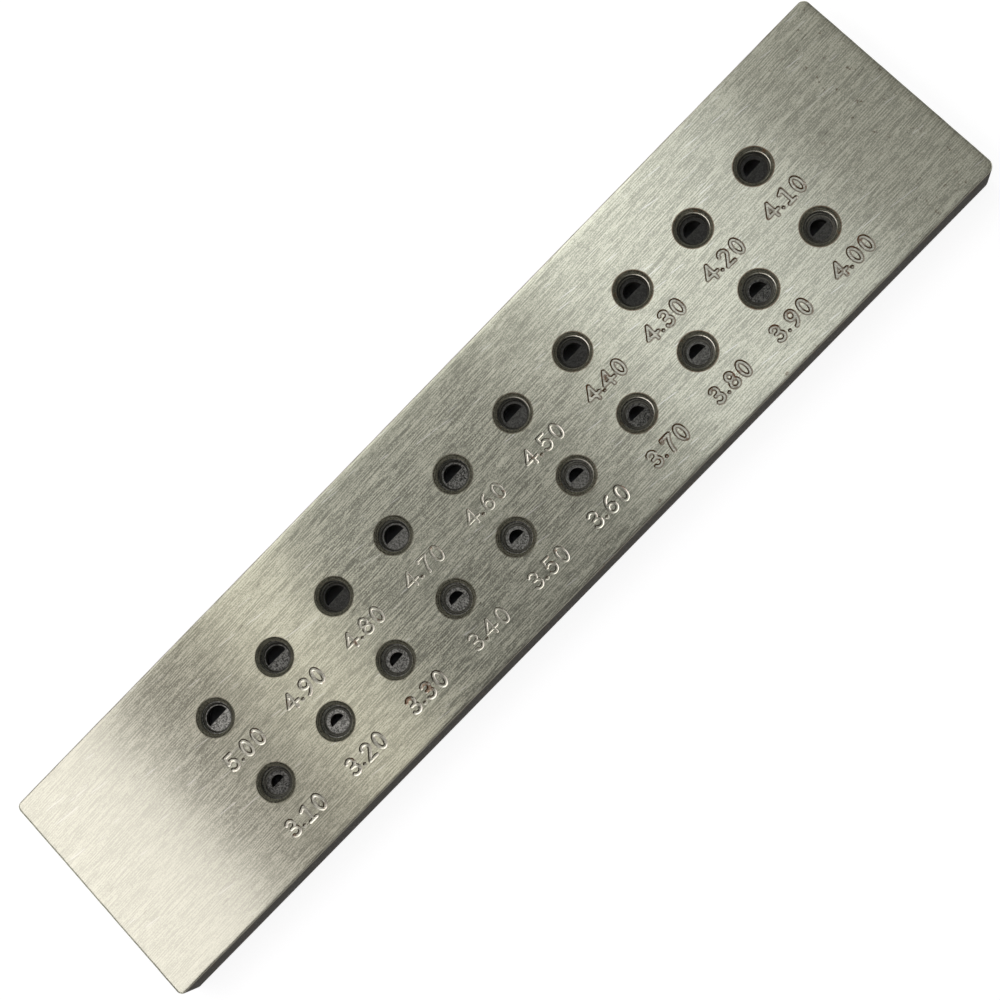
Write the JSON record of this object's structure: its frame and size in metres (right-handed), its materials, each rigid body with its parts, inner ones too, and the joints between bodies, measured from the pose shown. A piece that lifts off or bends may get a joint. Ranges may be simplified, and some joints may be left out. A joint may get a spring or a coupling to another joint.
{
  "type": "wire draw plate",
  "caption": "Flat steel draw plate with rows of set carbide dies, each with a half-round opening that sizes wire pulled through it.",
  "frame": {"origin": "middle of the entry face, which the plate lies on", "axes": "+X along the bar towards the end with the 4.00 and 4.10 mm dies, +Y across the bar towards the row of large dies, +Z out of the marked exit face"},
  "size_m": [0.2286, 0.0516, 0.0095],
  "materials": {
    "steel": "brushed along the length, worn",
    "carbide": "sintered, dark grey, matt"
  },
  "bodies": {
    "root": {"plate": "steel", "die_01": "carbide", "die_02": "carbide", "die_03": "carbide", "die_04": "carbide", "die_05": "carbide", "die_06": "carbide", "die_07": "carbide", "die_08": "carbide", "die_09": "carbide", "die_10": "carbide", "die_11": "carbide", "die_12": "carbide", "die_13": "carbide", "die_14": "carbide", "die_15": "carbide", "die_16": "carbide", "die_17": "carbide", "die_18": "carbide", "die_19": "carbide", "die_20": "carbide"}
  },
  "joints": []
}
